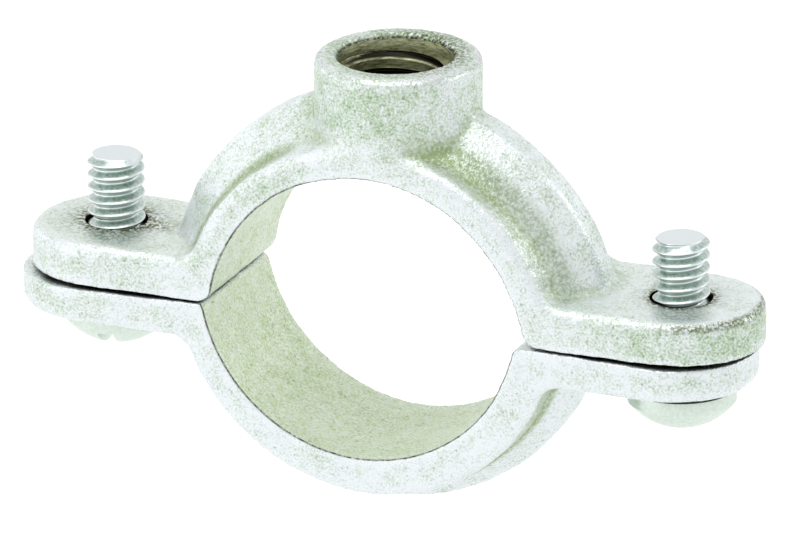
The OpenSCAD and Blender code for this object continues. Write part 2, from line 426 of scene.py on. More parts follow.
def cast_blank(node, name):
    """Closed copy of a CAD half, which the skin is made from."""
    mesh = frame["nodes"][node].data.copy()
    mesh.name = name
    mesh.materials.clear()
    blank = bpy.data.objects.new(name, mesh)
    bpy.context.scene.collection.objects.link(blank)
    edit(blank)
    bpy.ops.mesh.select_all(action="SELECT")
    bpy.ops.mesh.remove_doubles(threshold=MERGE)
    bpy.ops.object.mode_set(mode="OBJECT")
    return blank


def fill_hole(blank, x, radius, bottom, top):
    """Fills a hole of the blank, so that it can be drilled again after the skin is made."""
    primitive(
        bpy.ops.mesh.primitive_cylinder_add,
        vertices=64,
        radius=radius,
        depth=top - bottom,
        location=(x, 0, (bottom + top) / 2),
    )
    blank.select_set(True)
    bpy.context.view_layer.objects.active = blank
    bpy.ops.object.join()


def roughen(casting, name, size, height):
    """Raises and sinks the skin by a cloudy pattern."""
    clouds = bpy.data.textures.new(name, "CLOUDS")
    clouds.noise_scale = size
    clouds.noise_depth = 2
    modify(casting, "DISPLACE", texture=clouds, texture_coords="LOCAL", strength=height, mid_level=0.5)


def hollows_of(casting, passes):
    """How deep each point lies in a hollow, in metres, by a copy that is smoothed much more."""
    smooth = casting.copy()
    smooth.data = casting.data.copy()
    bpy.context.scene.collection.objects.link(smooth)
    modify(smooth, "SMOOTH", factor=0.5, iterations=passes)
    moved = points_of(smooth.data) - points_of(casting.data)
    depth = (moved * points_of(casting.data, "normal")).sum(1)
    bpy.data.objects.remove(smooth)
    return depth


def blend(casting, share, passes):
    """Smooths the skin where share is 1, and leaves it where it is 0."""
    chosen = casting.vertex_groups.new(name="blend")
    for i in np.flatnonzero(share > 0.01).tolist():
        chosen.add([i], float(share[i]), "REPLACE")
    modify(casting, "SMOOTH", factor=0.5, iterations=passes, vertex_group="blend")
    casting.vertex_groups.clear()


def cast_skin(blank, sizes, foot=None):
    """Gives the blank a cast skin, and returns its points with how hollow each lies, narrowly and widely.

    foot takes the points and gives the share by which each is blended into its surroundings.
    """
    modify(blank, "REMESH", mode="VOXEL", voxel_size=sizes.grid, adaptivity=0)
    if foot:
        blend(blank, foot(points_of(blank.data)), sizes.foot_passes)
    modify(blank, "SMOOTH", factor=0.5, iterations=sizes.wear_passes)
    wide = hollows_of(blank, 160)
    roughen(blank, "mould_waves", sizes.wave_size, sizes.wave_height)
    roughen(blank, "mould_grain", sizes.grain_size, sizes.grain_height)
    narrow = hollows_of(blank, 14)
    return points_of(blank.data), narrow, wide


def carry_over(casting, old_points, **measures):
    """Writes measures of the uncut skin to the nearest points of the cut one, in millimetres."""
    tree = KDTree(len(old_points))
    for i, point in enumerate(old_points):
        tree.insert(point, i)
    tree.balance()
    vertices = casting.data.vertices
    nearest = np.fromiter((tree.find(v.co)[1] for v in vertices), np.int64, len(vertices))
    for name, values in measures.items():
        write_attribute(casting.data, name, values[nearest] / MM)


def finish_casting(casting, node, body):
    """Shades the casting smooth and lets it stand for its CAD node."""
    pick(casting)
    bpy.ops.object.shade_smooth_by_angle(angle=math.radians(50))
    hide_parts(node)
    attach(casting, body)


# Finishes


def feed(tree, node, inputs):
    """Gives each input of a node its value, or the socket that feeds it."""
    for key, value in inputs.items():
        if isinstance(value, bpy.types.NodeSocket):
            tree.links.new(value, node.inputs[key])
        else:
            node.inputs[key].default_value = value


def add(tree, kind, inputs=None, **settings):
    """Adds a node with its settings and its inputs."""
    node = tree.nodes.new(kind)
    for key, value in settings.items():
        setattr(node, key, value)
    feed(tree, node, inputs or {})
    return node


def opaque(colour):
    """A colour with full alpha, as a socket takes it."""
    return (*colour, 1)


def build_material(name):
    """An empty node material with its output and its shader."""
    made = bpy.data.materials.new(name)
    made.use_nodes = True
    made.node_tree.nodes.clear()
    shader = add(made.node_tree, "ShaderNodeBsdfPrincipled")
    add(made.node_tree, "ShaderNodeOutputMaterial", {"Surface": shader.outputs["BSDF"]})
    return made, made.node_tree, shader


def galvanised_iron():
    """Hot dip galvanised sand casting.

    Thick zinc over a sand skin: pale and bluish where it is bright, with a green cast where it is dull,
    sharp speckle from its crystals, olive grime and painted shade in its hollows, a painted shade tint in the
    bores and on the flat tops, painted reflections of the screws on the ears, edges painted paler as
    highlights, and dark dirt and painted shade where two faces nearly touch.
    To the eye it is a bright, coarse and slightly greasy metal with soft highlights.
    """
    colours = bpy.context.scene.hanger_colours
    made, tree, shader = build_material("galvanised_iron")
    place = add(tree, "ShaderNodeTexCoord").outputs["Object"]
    marks = {
        name: add(tree, "ShaderNodeAttribute", attribute_name=name).outputs["Fac"]
        for name in ("crease", "dimple", "dull", "saddle", "valley", "stain", "smear", "arris")
    }

    # Crystals of zinc, specks of dirt, and clouds and patches of the dip, by their widths in millimetres
    noise = {}
    for name, width, detail, roughness in (
        ("crystals", 0.2, 1.0, 0.6),
        ("specks", 0.3, 2.0, 0.65),
        ("clouds", 1.3, 3.0, 0.6),
        ("patches", 5, 2.0, 0.5),
    ):
        inputs = {"Vector": place, "Scale": 1 / (width * MM), "Detail": detail, "Roughness": roughness}
        noise[name] = add(tree, "ShaderNodeTexNoise", inputs).outputs["Fac"]
    crystals, specks = noise["crystals"], noise["specks"]

    # Each share goes from one value to another while its pattern or mark goes from low to high
    share = {}
    for name, source, low, high, at_low, at_high in (
        # The green cast is uneven at three sizes, and a little more even on dull zinc
        ("speckle", crystals, 0.35, 0.65, -0.4, 0.4),
        ("cloud", noise["clouds"], 0.35, 0.65, -0.2, 0.2),
        ("patch", noise["patches"], 0.35, 0.65, -0.12, 0.12),
        ("sprinkled", marks["dull"], 0.1, 0.4, 0.95, 0.9),
        # Edges that stand out are worn, and painted paler as a highlight
        ("worn_and_highlit", marks["crease"], -0.26, -0.12, 1.0, 0.0),
        # Olive grime and painted shade fill the creases and the dimples, and thin out between the specks
        ("crease", marks["crease"], 0.04, 0.24, 0.0, 0.25),
        ("dimple", marks["dimple"], 0.0, 0.03, 0.0, 0.35),
        ("held", specks, 0.35, 0.6, 0.45, 1.0),
        # The saddles' painted shade tint is as uneven as the crystals
        ("uneven", crystals, 0.35, 0.65, 0.4, 1.2),
        # Brown stains break up into spots, and the smears and painted reflections into streaks
        ("spots", specks, 0.42, 0.56, 0.05, 1.0),
        ("streaks", specks, 0.42, 0.56, 0.15, 1.2),
        ("gloss", specks, 0.35, 0.65, 0.3, 0.5),
    ):
        inputs = {"Value": source, "From Min": low, "From Max": high, "To Min": at_low, "To Max": at_high}
        share[name] = add(tree, "ShaderNodeMapRange", inputs).outputs["Result"]

    # Green cast, from 0 on fresh zinc to 1 on dull zinc, with less of it on the edges that stand out, where
    # wear and a painted highlight make them paler
    green = add(tree, "ShaderNodeMath", {0: share["speckle"], 1: share["sprinkled"]}, operation="MULTIPLY")
    for part in (share["cloud"], share["patch"]):
        green = add(tree, "ShaderNodeMath", {0: green.outputs["Value"], 1: part}, operation="ADD")
    inputs = {0: share["worn_and_highlit"], 1: -0.25, 2: marks["dull"]}
    cast = add(tree, "ShaderNodeMath", inputs, operation="MULTIPLY_ADD")
    inputs = {0: green.outputs["Value"], 1: cast.outputs["Value"]}
    green = add(tree, "ShaderNodeMath", inputs, operation="ADD", use_clamp=True)

    grime = add(tree, "ShaderNodeMath", {0: share["crease"], 1: share["dimple"]}, operation="ADD")
    grime = add(tree, "ShaderNodeMath", {0: grime.outputs["Value"], 1: marks["valley"]}, operation="ADD")

    # Marks that a pattern breaks up
    broken = {}
    for name, mark, pattern in (
        ("grime", grime.outputs["Value"], "held"),
        ("saddle", marks["saddle"], "uneven"),
        ("stain", marks["stain"], "spots"),
        ("smear", marks["smear"], "streaks"),
    ):
        inputs = {0: mark, 1: share[pattern]}
        node = add(tree, "ShaderNodeMath", inputs, operation="MULTIPLY", use_clamp=True)
        broken[name] = node.outputs["Value"]

    # Specks of dirt lie everywhere, and are thicker where the zinc is dull
    loose = add(tree, "ShaderNodeMath", {0: green.outputs["Value"], 1: 0.16}, operation="MULTIPLY")
    dirty = add(tree, "ShaderNodeMath", {0: specks, 1: loose.outputs["Value"]}, operation="ADD")
    inputs = {"Value": dirty.outputs["Value"], "From Min": 0.67, "From Max": 0.78, "To Max": 0.5}
    speck = add(tree, "ShaderNodeMapRange", inputs)

    # A thin dark line runs along the saddles' near edges, and is broken by the specks
    across = add(tree, "ShaderNodeMath", {0: marks["arris"]}, operation="ABSOLUTE")
    inputs = {"Value": across.outputs["Value"], "From Min": 0.18, "From Max": 0.06}
    line = add(tree, "ShaderNodeMapRange", inputs)
    line = add(tree, "ShaderNodeMath", {0: line.outputs["Result"], 1: share["held"]}, operation="MULTIPLY")

    # Dirt and painted shade where another face is less than about half a millimetre away
    near = add(tree, "ShaderNodeAmbientOcclusion", {"Distance": 1.3 * MM}, samples=12)
    inputs = {"Value": near.outputs["AO"], "From Min": 0.5, "From Max": 0.2}
    tight = add(tree, "ShaderNodeMapRange", inputs)

    # The saddles get less of it than the ears
    clean = add(tree, "ShaderNodeMath", {0: marks["saddle"], 1: -1.6, 2: 1.0}, operation="MULTIPLY_ADD")
    inputs = {0: tight.outputs["Result"], 1: clean.outputs["Value"]}
    tight = add(tree, "ShaderNodeMath", inputs, operation="MULTIPLY")

    # From the lowest layer to the top one
    surface = opaque(colours.pale_zinc)
    for part, colour in (
        (green.outputs["Value"], colours.green_zinc),
        (broken["saddle"], colours.bore_and_top_shading),
        (broken["grime"], colours.olive_grime_and_shade),
        (speck.outputs["Result"], colours.speck),
        (broken["smear"], colours.smear),
        (broken["stain"], colours.rust),
        (line.outputs["Value"], colours.dark_edge_line),
        (tight.outputs["Value"], colours.dirt_and_shade_in_gaps),
    ):
        inputs = {MIX_FACTOR: part, MIX_A: surface, MIX_B: opaque(colour)}
        surface = add(tree, "ShaderNodeMix", inputs, data_type="RGBA").outputs[MIX_RESULT]

    # Worn edges are glossier
    inputs = {0: share["worn_and_highlit"], 1: -0.07, 2: share["gloss"]}
    gloss = add(tree, "ShaderNodeMath", inputs, operation="MULTIPLY_ADD")
    relief = add(tree, "ShaderNodeMath", {0: crystals, 1: specks}, operation="ADD")
    inputs = {"Height": relief.outputs["Value"], "Distance": 0.06 * MM, "Strength": 0.8}
    bump = add(tree, "ShaderNodeBump", inputs)
    looks = {"Base Color": surface, "Roughness": gloss.outputs["Value"], "Normal": bump.outputs["Normal"]}
    feed(tree, shader, looks | {"Metallic": 0.5})
    return made


def tapped_iron():
    """Bare malleable iron that a tap has cut after the zinc bath.

    Greasy olive grey on the lands, with brown patches, and nearly black down in the grooves, as dirt and
    painted shade.
    """
    colours = bpy.context.scene.hanger_colours
    made, tree, shader = build_material("tapped_iron")
    place = add(tree, "ShaderNodeTexCoord").outputs["Object"]
    groove = add(tree, "ShaderNodeAttribute", attribute_name="groove").outputs["Fac"]

    # The grooves are painted nearly black, as dirt and shade
    deep = add(tree, "ShaderNodeMapRange", {"Value": groove, "From Min": 0.15, "From Max": 0.7})

    # Tearing marks of the tap run round the hole, so the noise is flattened along the axis
    along = add(tree, "ShaderNodeMapping", {"Vector": place, "Scale": (1, 1, 5)})
    inputs = {"Vector": along.outputs["Vector"], "Scale": 1 / (0.9 * MM), "Detail": 4.0, "Roughness": 0.7}
    tears = add(tree, "ShaderNodeTexNoise", inputs)
    torn = tears.outputs["Fac"]
    inputs = {"Value": torn, "From Min": 0.38, "From Max": 0.62, "To Min": 0.1, "To Max": 0.9}
    rusty = add(tree, "ShaderNodeMapRange", inputs)
    surface = opaque(colours.cut_iron)
    for part, colour in ((rusty, colours.rust), (deep, colours.dirt_and_shade_in_gaps)):
        inputs = {MIX_FACTOR: part.outputs["Result"], MIX_A: surface, MIX_B: opaque(colour)}
        surface = add(tree, "ShaderNodeMix", inputs, data_type="RGBA").outputs[MIX_RESULT]
    bump = add(tree, "ShaderNodeBump", {"Height": torn, "Distance": 0.04 * MM, "Strength": 0.7})
    looks = {"Base Color": surface, "Roughness": 0.36, "Normal": bump.outputs["Normal"]}
    feed(tree, shader, looks | {"Metallic": 0.7})
    return made


def zinc_plate():
    """Bright zinc plate on rolled steel.

    A smooth, slightly blue metal with fine rolling marks up the shank. Its thread's flanks are painted greyer
    as shade and reflection, and their lower flanks darker as shade, which leaves hard bright lines along the
    crests. The head is duller, with the green cast of old plate.
    """
    colours = bpy.context.scene.hanger_colours
    made, tree, shader = build_material("zinc_plate")
    place = add(tree, "ShaderNodeTexCoord").outputs["Object"]
    flank = add(tree, "ShaderNodeAttribute", attribute_name="flank").outputs["Fac"]
    under = add(tree, "ShaderNodeAttribute", attribute_name="underside").outputs["Fac"]
    head = add(tree, "ShaderNodeAttribute", attribute_name="head").outputs["Fac"]
    inputs = {"Vector": place, "Scale": 1 / (0.3 * MM), "Detail": 2.0, "Roughness": 0.6}
    cloudy = add(tree, "ShaderNodeTexNoise", inputs).outputs["Fac"]
    # Marks of the thread rolls, 0.25 mm apart and drawn out along the screw
    drawn = add(tree, "ShaderNodeMapping", {"Vector": place, "Scale": (1, 1, 0.15)})
    inputs = {"Vector": drawn.outputs["Vector"], "Scale": 1 / (0.25 * MM), "Detail": 2.0, "Roughness": 0.6}
    marks = add(tree, "ShaderNodeTexNoise", inputs).outputs["Fac"]
    inputs = {"Value": marks, "From Min": 0.38, "From Max": 0.62, "To Min": 0.35, "To Max": 1.0}
    uneven = add(tree, "ShaderNodeMapRange", inputs)
    grey = add(tree, "ShaderNodeMath", {0: flank, 1: uneven.outputs["Result"]}, operation="MULTIPLY")
    inputs = {"Value": cloudy, "From Min": 0.35, "From Max": 0.65, "To Min": 0.55, "To Max": 0.95}
    spots = add(tree, "ShaderNodeMapRange", inputs)
    dull = add(tree, "ShaderNodeMath", {0: head, 1: spots.outputs["Result"]}, operation="MULTIPLY")
    surface = opaque(colours.plate)
    for part, colour in (
        (grey.outputs["Value"], colours.plate_flank_shade),
        (under, colours.plate_under_shade),
        (dull.outputs["Value"], colours.plate_head),
    ):
        inputs = {MIX_FACTOR: part, MIX_A: surface, MIX_B: opaque(colour)}
        surface = add(tree, "ShaderNodeMix", inputs, data_type="RGBA").outputs[MIX_RESULT]
    gloss = add(tree, "ShaderNodeMapRange", {"Value": head, "To Min": 0.3, "To Max": 0.36})
    bump = add(tree, "ShaderNodeBump", {"Height": marks, "Distance": 0.02 * MM, "Strength": 0.6})
    looks = {"Base Color": surface, "Roughness": gloss.outputs["Result"], "Normal": bump.outputs["Normal"]}
    feed(tree, shader, looks | {"Metallic": 1.0})
    return made


def saddle_share(places, normals, middle):
    """1 where a point looks inwards to the axis of its saddle, and 0 elsewhere."""
    arm = (places - (middle[0], 0, middle[1])) * (1, 0, 1)
    length = np.linalg.norm(arm, axis=1)
    inward = -(arm * normals).sum(1) / np.maximum(length, MM)
    return step(inward, 0.5, 0.9) * step(length, SADDLE_R + 0.8 * MM, SADDLE_R + 0.3 * MM)


def arris_place(places, middle):
    """Place across the saddle's near edge: 0 on the edge, less on the front face, more in the bore."""
    x, y, z = places.T
    outwards = np.hypot(x - middle[0], z - middle[1]) - SADDLE_R
    inwards = y - LOWER_FRONT
    place = inwards - outwards
    return place + np.sign(place) * 4 * np.maximum(inwards + outwards - 0.7 * MM, 0)


class HANGER_OT_upper_half(bpy.types.Operator):
    """Casts the upper half, taps its boss and drills its ears."""

    bl_idname = "hanger.upper_half"
    bl_label = "Upper half"

    def execute(self, context):
        sizes = context.scene.hanger_casting
        rod = context.scene.hanger_rod_thread
        casting = cast_blank("upper_half", "upper_half_casting")
        # Each hole is filled a little wider than it is drilled
        fill_hole(casting, 0, rod.mouth_r + 0.3 * MM, SADDLE_R + 0.7 * MM, BOSS_TOP)
        for x in (-SCREW_X, SCREW_X):
            fill_hole(casting, x, sizes.ear_hole_r + 0.2 * MM, UPPER_PARTING, sizes.ear_top)
        old_points, narrow, wide = cast_skin(casting, sizes, self.foot)
        iron = tapped_iron()
        zinc = galvanised_iron()
        casting.data.materials.clear()
        casting.data.materials.append(zinc)
        # The countersink's cone runs on past both ends of its depth
        slope = (rod.sink_r - rod.mouth_r) / rod.sink_depth
        sink = primitive(
            bpy.ops.mesh.primitive_cone_add,
            vertices=96,
            radius1=rod.mouth_r - slope * rod.sink_depth,
            radius2=rod.sink_r + slope * rod.sink_depth,
            depth=3 * rod.sink_depth,
            location=(0, 0, BOSS_TOP - rod.sink_depth / 2),
        )
        sink.data.materials.append(zinc)
        combine(casting, sink, "DIFFERENCE", keep_finish=True)

        # The tap leaves lands at the bore's radius and narrow grooves between them
        tap = threaded_solid(
            "tap",
            rod.pitch,
            rod.root_r,
            ROD_BORE_R + 0.02 * MM,
            (1, 2, 5),
            BOSS_TOP - rod.first_groove - 7 * rod.pitch,
            BOSS_TOP + 2 * MM,
            math.radians(90),
        )
        # The plain mouth narrows downwards, to a little less than the grooves
        mouth = primitive(
            bpy.ops.mesh.primitive_cone_add,
            vertices=96,
            radius1=rod.root_r - 0.05 * MM,
            radius2=2 * rod.mouth_r - rod.root_r + 0.05 * MM,
            depth=2 * rod.mouth_depth,
            location=(0, 0, BOSS_TOP),
        )
        drills = [tap, mouth]
        for x in (-SCREW_X, SCREW_X):
            drill = primitive(
                bpy.ops.mesh.primitive_cylinder_add,
                vertices=64,
                radius=sizes.ear_hole_r,
                depth=8 * MM,
                location=(x, 0, UPPER_PARTING + 2 * MM),
            )
            drills.append(drill)
        for drill in drills:
            drill.data.materials.append(iron)
            combine(casting, drill, "DIFFERENCE", keep_finish=True)
        clean_cuts(casting)
        carry_over(casting, old_points, dimple=narrow, crease=wide)
        places = points_of(casting.data)
        normals = points_of(casting.data, "normal")
        self.mark(casting, sizes, rod, places, normals)
        finish_casting(casting, "upper_half", "upper_casting")
        return {"FINISHED"}

    def foot(self, places):
        """1 round the front and back of the boss's foot and where the valleys run out on the ears."""
        x, y, z = np.abs(places.T)
        level = step(z, 14.6 * MM, 15.8 * MM) * step(z, 20.5 * MM, 18.5 * MM)
        boss = level * step(y, 2.5 * MM, 4 * MM) * step(x, 9.5 * MM, 7.5 * MM)
        level = step(z, 4.2 * MM, 4.8 * MM) * step(z, 9.5 * MM, 7 * MM)
        run_out = level * step(y, 5.9 * MM, 5.0 * MM)
        run_out *= step(x, 14.3 * MM, 15.3 * MM) * step(x, 21 * MM, 19.5 * MM)
        return np.maximum(boss, run_out)

    def mark(self, casting, sizes, rod, places, normals):
        """Marks where the zinc is dull, stained or smeared, where shade, light and reflections of the screws
        are painted, and how deep the threads are.
        """
        x, y, z = places.T
        facing_up = normals[:, 2]
        round_pipe = np.hypot(x, z)
        round_rod = np.hypot(x, y)
        boss = step(z, 16.5 * MM, 18.5 * MM) * (np.abs(x) < 8 * MM)
        saddle = saddle_share(places, normals, UPPER_MIDDLE)
        left_front = step(x, -4 * MM, -8 * MM) * step(z, 3 * MM, 6 * MM) * step(normals[:, 1], -0.5, -0.9)
        left_rib = step(x, -2 * MM, -6 * MM) * step(round_pipe, 17 * MM, 17.6 * MM) * (z > 5 * MM)
        right_end = step(x, 17 * MM, 24 * MM) * step(facing_up, 0.97, 0.8) * (z < 5 * MM)
        flat = (z < 5.5 * MM) * step(facing_up, 0.8, 0.95)
        # The saddles are painted duller as shade of the bores, and the right ear's front and edges as shade;
        # the left rib's flank and the flat ear tops are painted paler as light
        dull = 0.15 + 0.1 * saddle + (0.38 - 0.15 * step(x, 2 * MM, 6 * MM)) * boss + 0.25 * left_front
        dull = dull + right_end * (0.34 + 0.2 * step(x, 26 * MM, 30 * MM)) - 0.08 * left_rib - 0.07 * flat
        write_attribute(casting.data, "dull", dull)

        # The right valley gets olive grime and painted shade right across, and the left one only beside the
        # flange's edge
        wide = step(round_pipe, 16.0 * MM, 16.7 * MM) * step(round_pipe, 19.0 * MM, 17.4 * MM)
        wide *= step(y, -2.2 * MM, -3.4 * MM) * step(x, 0, 6 * MM) * (1 - 0.35 * step(x, 9 * MM, 13 * MM))
        narrow = step(round_pipe, 16.0 * MM, 16.3 * MM) * step(round_pipe, 17.4 * MM, 16.8 * MM)
        narrow *= step(y, -3.8 * MM, -4.6 * MM) * step(x, -6 * MM, -9 * MM)
        valley = (0.95 * wide + 0.9 * narrow) * step(y, -6.5 * MM, -6.1 * MM) * step(z, 4.5 * MM, 6.5 * MM)
        # Olive grime and painted shade lie in the corner left of the boss's foot too
        boss_foot_r = 7.4 * MM
        corner = step(np.abs(round_rod - boss_foot_r), 1.2 * MM, 0.4 * MM) * step(x, -2 * MM, -4.5 * MM)
        level = step(z, 15.5 * MM, 16.5 * MM) * step(z, 19 * MM, 17.8 * MM)
        valley += 0.45 * corner * level * step(y, 0, -2 * MM)
        # Faces turned up get a little more, a painted tint of how light falls on tops, and the left rib's
        # flank less, painted paler as light
        valley += 0.03 * step(facing_up, 0.5, 1.0) - 0.3 * left_rib
        write_attribute(casting.data, "valley", valley)
        # The bores get a painted shade tint, and the flat ear tops, more on the left, a painted tint of how
        # light falls on them
        write_attribute(casting.data, "saddle", 0.38 * saddle + np.where(x < 0, 0.12, 0.04) * flat)

        stain = np.zeros(len(places))
        smear = np.zeros(len(places))
        ear_top = step(z, 4 * MM, 4.6 * MM) * step(z, 6 * MM, 5.5 * MM)
        for hole_x in (-SCREW_X, SCREW_X):
            away = np.hypot(x - hole_x, y)
            reach = 0.9 * MM if hole_x < 0 else 0.35 * MM
            stain += 1.5 * np.exp(-np.maximum(away - sizes.ear_hole_r, 0) / reach) * ear_top
            # A painted reflection of each screw lies on the ear's top in front of it, a little to the right
            ahead = np.hypot((x - hole_x - 1.5 * MM) / 1.3, y + 3.8 * MM)
            smear += 0.5 * step(ahead, 2.3 * MM, 0.8 * MM) * ear_top
        # Spots lie between the left screw and the rib too
        spread = np.hypot(x + SCREW_X - 4.4 * MM, 1.3 * (y + 0.5 * MM))
        stain += 0.6 * np.exp(-((spread / (1.6 * MM)) ** 2)) * ear_top
        # Stains lie on the edges of the right ear's end and of the boss's top too
        turned = step(facing_up, 0.15, 0.45) * step(facing_up, 0.97, 0.8)
        stain += 0.8 * turned * step(x, 24 * MM, 28 * MM) * (z > 3 * MM)
        right = step(x + 0.5 * y, -2 * MM, 5 * MM)
        stain += 0.35 * turned * (0.3 + 0.7 * right) * (z > BOSS_TOP - 1.6 * MM)
        rim = step(z, BOSS_TOP - 1.4 * MM, BOSS_TOP - 0.5 * MM) * step(round_rod, 7 * MM, 5 * MM)
        stain += 0.9 * rim * (0.3 + 0.7 * right)
        write_attribute(casting.data, "stain", stain)
        # A faint blue grey band runs along the foot of the rib's right flank
        flank_foot = step(round_pipe, 16.7 * MM, 17.3 * MM) * step(round_pipe, 18.4 * MM, 17.6 * MM)
        front = step(y, -2.6 * MM, -3.4 * MM)
        smear += 0.22 * flank_foot * front * step(y, -5.2 * MM, -4.4 * MM) * step(x, 5 * MM, 9 * MM)
        write_attribute(casting.data, "smear", smear)

        # The line on the saddle's near edge is widest at the upper left
        strong = step(x, -3 * MM, -6 * MM) * step(z, 1.5 * MM, 3 * MM)
        place = arris_place(places, UPPER_MIDDLE) * (2.0 - 1.05 * strong)
        # The rod hole's countersink has a line too, at its lower edge
        round_hole = (z > BOSS_TOP - 0.6 * MM) & (round_rod < rod.mouth_r + 1.2 * MM)
        place = np.where(round_hole, 1.1 * (round_rod - rod.mouth_r) + 0.03 * MM, place)
        write_attribute(casting.data, "arris", place / MM)
        # How far into a groove of the tap each point lies, where its dirt and painted shade go
        groove = step(round_rod, ROD_BORE_R + 0.12 * MM, ROD_BORE_R + 0.3 * MM)
        write_attribute(casting.data, "groove", groove * (z < BOSS_TOP - rod.mouth_depth - 0.02 * MM))


class HANGER_OT_lower_half(bpy.types.Operator):
    """Casts the lower half."""

    bl_idname = "hanger.lower_half"
    bl_label = "Lower half"

    def execute(self, context):
        sizes = context.scene.hanger_casting
        casting = cast_blank("lower_half", "lower_half_casting")
        old_points, narrow, wide = cast_skin(casting, sizes)
        casting.data.materials.clear()
        casting.data.materials.append(galvanised_iron())
        carry_over(casting, old_points, dimple=narrow, crease=wide)
        places = points_of(casting.data)
        normals = points_of(casting.data, "normal")
        x, y, z = places.T
        saddle = saddle_share(places, normals, LOWER_MIDDLE)
        left_end = step(x, -22 * MM, -28 * MM)
        # The saddle is painted duller as shade of the bore
        write_attribute(casting.data, "dull", 0.1 + 0.1 * saddle + 0.2 * left_end)
        write_attribute(casting.data, "arris", arris_place(places, LOWER_MIDDLE) * 1.2 / MM)
        # The valley beside the rib gets olive grime and painted shade
        away = np.hypot(x - LOWER_MIDDLE[0], z - LOWER_MIDDLE[1])
        valley = step(away, 16.7 * MM, 17.0 * MM) * step(away, 17.9 * MM, 17.3 * MM)
        valley *= step(y, -2.6 * MM, -3.2 * MM) * step(y, -6.2 * MM, -5.8 * MM) * step(z, 0, -3 * MM)
        write_attribute(casting.data, "valley", 0.7 * valley)
        # The bore gets a painted shade tint
        write_attribute(casting.data, "saddle", 0.5 * saddle)
        finish_casting(casting, "lower_half", "lower_casting")
        return {"FINISHED"}


class HANGER_OT_screws(bpy.types.Operator):
    """Makes the two slotted round head screws, each with its thread."""

    bl_idname = "hanger.screws"
    bl_label = "Screws"

    def execute(self, context):
        sizes = context.scene.hanger_screws
        plate = zinc_plate()
        for side, slot_turn, thread_turn in (
            ("left", sizes.left_slot_turn, sizes.left_thread_turn),
            ("right", sizes.right_slot_turn, sizes.right_thread_turn),
        ):
            node = side + "_screw"
            low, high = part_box(node)
            x = (low.x + high.x) / 2
            seat = low.z + sizes.dome_h + sizes.rim_h
            screw = self.shank(node + "_threaded", sizes, seat, high.z, thread_turn)
            head = self.head(sizes, low.z, (high.x - low.x) / 2, slot_turn)
            combine(screw, head, "UNION")
            clean_cuts(screw)
            self.mark(screw, sizes, seat)
            screw.location = (x, 0, 0)
            settle(screw)
            screw.data.materials.clear()
            screw.data.materials.append(plate)
            pick(screw)
            bpy.ops.object.shade_smooth_by_angle(angle=math.radians(28))
            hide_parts(node)
            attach(screw, side + "_bolt")
        return {"FINISHED"}

    def shank(self, name, sizes, seat, tip, turn):
        """Threaded shank on the Z axis, cut flat and chamfered at its tip."""
        screw = threaded_solid(
            name,
            sizes.pitch,
            sizes.crest_r,
            sizes.root_r,
            (1, 4, 1),
            seat - sizes.pitch,
            tip + sizes.pitch,
            turn,
            0.025 * MM,
        )
        bottom = seat - sizes.rim_h / 2
        blank = primitive(
            bpy.ops.mesh.primitive_cylinder_add,
            vertices=96,
            radius=sizes.crest_r + 0.02 * MM,
            depth=tip - bottom,
            location=(0, 0, (tip + bottom) / 2),
        )
        edit(blank)
        select_points(blank, lambda co: co.z > tip - 0.01 * MM)
        bpy.ops.mesh.bevel(offset=sizes.tip_chamfer, offset_type="OFFSET", segments=1, affect="EDGES")
        bpy.ops.object.mode_set(mode="OBJECT")
        combine(screw, blank, "INTERSECT")
        return screw

    def head(self, sizes, bottom, radius, slot_turn):
        """Round head on the Z axis: a cap of a ball with a straight rim, and a slot across it."""
        ball_r = (radius**2 + sizes.dome_h**2) / (2 * sizes.dome_h)
        rim = bottom + sizes.dome_h
        head = primitive(
            bpy.ops.mesh.primitive_uv_sphere_add,
            segments=96,
            ring_count=64,
            radius=ball_r,
            location=(0, 0, bottom + ball_r),
        )
        edit(head)
        bpy.ops.mesh.select_all(action="SELECT")
        bpy.ops.mesh.bisect(plane_co=(0, 0, rim), plane_no=(0, 0, 1), use_fill=True, clear_outer=True)
        bpy.ops.mesh.extrude_region_move(TRANSFORM_OT_translate={"value": (0, 0, sizes.rim_h)})
        bpy.ops.mesh.select_all(action="SELECT")
        bpy.ops.mesh.normals_make_consistent(inside=False)
        bpy.ops.object.mode_set(mode="OBJECT")
        bpy.ops.object.select_all(action="DESELECT")
        bpy.ops.mesh.primitive_cube_add(size=1, location=(0, 0, bottom), rotation=(0, 0, slot_turn))
        slot = bpy.context.object
        slot.scale = (3 * radius, sizes.slot_w, 2 * sizes.slot_depth)
        settle(slot)
        combine(head, slot, "DIFFERENCE")
        sharp = math.radians(38)
        modify(head, "BEVEL", width=0.09 * MM, segments=2, limit_method="ANGLE", angle_limit=sharp)
        return head

    def mark(self, screw, sizes, seat):
        """Marks the flanks of the thread, its faces turned down and the head, where painted shade and the
        head's dull plate go.
        """
        x, y, z = points_of(screw.data).T
        out = np.hypot(x, y)
        # The flanks are painted greyer, as shade and reflection, leaving bright lines on the crests and roots
        flank = step(out, sizes.crest_r - 0.01 * MM, sizes.crest_r - 0.08 * MM)
        flank *= step(out, sizes.root_r + 0.01 * MM, sizes.root_r + 0.12 * MM)
        flank *= (z > seat) & (z < z.max() - 0.03 * MM)
        write_attribute(screw.data, "flank", flank)
        # Faces turned down get a painted shade
        down = step(points_of(screw.data, "normal")[:, 2], -0.1, -0.5)
        write_attribute(screw.data, "underside", down * (z > seat + 0.1 * MM))
        write_attribute(screw.data, "head", z < seat + 0.02 * MM)


